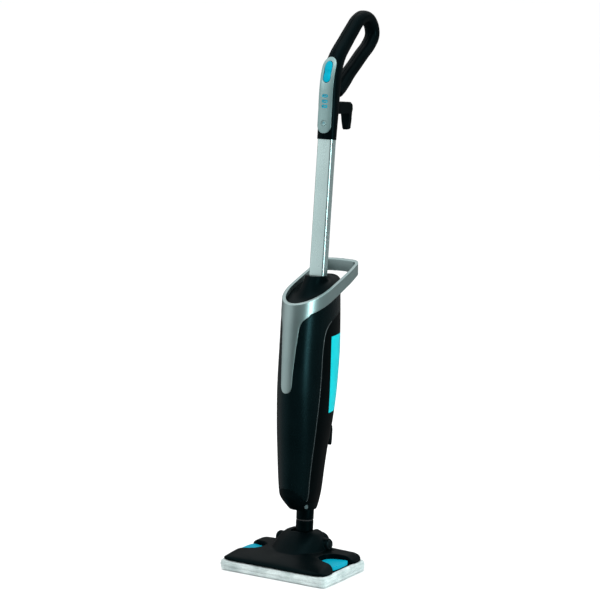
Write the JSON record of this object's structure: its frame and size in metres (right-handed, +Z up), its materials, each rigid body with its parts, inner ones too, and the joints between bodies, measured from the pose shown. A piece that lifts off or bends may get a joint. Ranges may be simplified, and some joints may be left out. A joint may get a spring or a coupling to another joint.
{
  "type": "steam mop",
  "caption": "Upright floor mop with a pivoting pad head, tapered body with a rear water tank and carry ring, flat metal pole and looped handle with a rocker control.",
  "frame": {"origin": "centre of the flat underside of the mop pad, on the floor", "axes": "+Z up, +X across the head to the mop's left side as it faces you, -Y towards the front of the mop"},
  "size_m": [0.276, 0.4269, 1.214],
  "materials": {
    "microfibre": "white microfibre pile with stitched grooves",
    "black_plastic": "semi-gloss black moulding with a fine grain",
    "dark_plastic": "matt charcoal moulding",
    "silver_paint": "satin silver paint on plastic",
    "pole_aluminium": "satin anodised",
    "cyan_plastic": "bright cyan, slightly translucent on the tank",
    "steel": "plain steel",
    "rubber": "matt rubber",
    "brass": "turned brass",
    "white_plastic": "natural moulding",
    "cast_aluminium": "as cast",
    "circuit_board": "green laminate"
  },
  "bodies": {
    "head": {"mop_pad": "microfibre", "sole_plate": "dark_plastic", "head_cover": "black_plastic", "clamp_pin_left": "steel", "clamp_pin_right": "steel", "hinge_axle": "steel", "axle_cap_left": "dark_plastic", "axle_cap_right": "dark_plastic", "steam_manifold": "white_plastic", "steam_nozzle": "brass", "head_screw_1": "steel", "head_screw_2": "steel", "head_screw_3": "steel", "head_screw_4": "steel"},
    "clamp_left": {"pad_clamp_left": "cyan_plastic"},
    "clamp_right": {"pad_clamp_right": "cyan_plastic"},
    "neck": {"neck_knuckle": "black_plastic", "hinge_bush_left": "white_plastic", "hinge_bush_right": "white_plastic", "neck_seal": "rubber", "swivel_spigot": "black_plastic", "swivel_retainer": "steel"},
    "main": {"lower_end_cap": "black_plastic", "end_cap_plug": "dark_plastic", "front_shell": "black_plastic", "rear_shell": "black_plastic", "silver_bezel": "silver_paint", "top_deck": "dark_plastic", "pole_tube": "pole_aluminium", "boiler": "cast_aluminium", "boiler_thermostat": "white_plastic", "water_pump": "white_plastic", "feed_hose": "rubber", "pressure_hose": "rubber", "steam_hose": "rubber", "wiring_loom": "rubber", "casing_screw_left": "steel", "casing_screw_right": "steel", "valve_seat": "rubber", "lower_cord_hook": "black_plastic", "cord_inlet_gland": "rubber", "handle_shell_left": "black_plastic", "handle_shell_right": "black_plastic", "handle_screw_1": "steel", "handle_screw_2": "steel", "control_panel": "silver_paint", "mode_lens_1": "cyan_plastic", "mode_lens_2": "cyan_plastic", "mode_lens_3": "cyan_plastic", "rocker_pin": "steel", "control_board": "circuit_board", "hook_pin": "steel"},
    "tank": {"water_tank": "cyan_plastic", "tank_valve": "dark_plastic"},
    "filler_cap": {"tank_cap": "dark_plastic"},
    "latch_button": {"tank_latch": "dark_plastic"},
    "rocker": {"steam_rocker": "cyan_plastic"},
    "power": {"power_button": "silver_paint"},
    "upper_hook": {"upper_cord_hook": "black_plastic"}
  },
  "joints": [
    {"name": "head_pitch", "type": "hinge", "parent": "head", "child": "neck", "pos_m": [0, 0.046, 0.058], "axis": [-1, 0, 0], "range_deg": [0, 72]},
    {"name": "body_swivel", "type": "hinge", "parent": "neck", "child": "main", "pos_m": [0, 0.05123, 0.11777], "axis": [0, 0.0872, 0.9962], "range_deg": [-90, 90]},
    {"name": "clamp_left_flip", "type": "hinge", "parent": "head", "child": "clamp_left", "pos_m": [-0.0805, 0, 0.0295], "axis": [0, 1, 0], "range_deg": [0, 28], "stiffness_Nm_per_rad": 0.05, "springref_deg": -17.19},
    {"name": "clamp_right_flip", "type": "hinge", "parent": "head", "child": "clamp_right", "pos_m": [0.0805, 0, 0.0295], "axis": [0, -1, 0], "range_deg": [0, 28], "stiffness_Nm_per_rad": 0.05, "springref_deg": -17.19},
    {"name": "tank_slide", "type": "slide", "parent": "main", "child": "tank", "axis": [0, 1, 0], "range_m": [0, 0.11]},
    {"name": "filler_cap_twist", "type": "hinge", "parent": "tank", "child": "filler_cap", "pos_m": [0, 0.112, 0.512], "axis": [0, 0, 1], "range_deg": [0, 90]},
    {"name": "tank_latch_press", "type": "slide", "parent": "main", "child": "latch_button", "axis": [0, -1, 0], "range_m": [0, 0.002], "stiffness_N_per_m": 900, "springref_m": -0.001},
    {"name": "rocker_tilt", "type": "hinge", "parent": "main", "child": "rocker", "pos_m": [0, 0.14613, 1.08467], "axis": [1, 0, 0], "range_deg": [-3, 3], "stiffness_Nm_per_rad": 0.6},
    {"name": "power_press", "type": "slide", "parent": "main", "child": "power", "axis": [0, 0.9902, -0.1394], "range_m": [0, 0.0012], "stiffness_N_per_m": 700, "springref_m": -0.001},
    {"name": "upper_hook_swivel", "type": "hinge", "parent": "main", "child": "upper_hook", "pos_m": [0, 0.185, 1.00554], "axis": [0, 0.9932, -0.1166], "range_deg": [0, 180]}
  ]
}
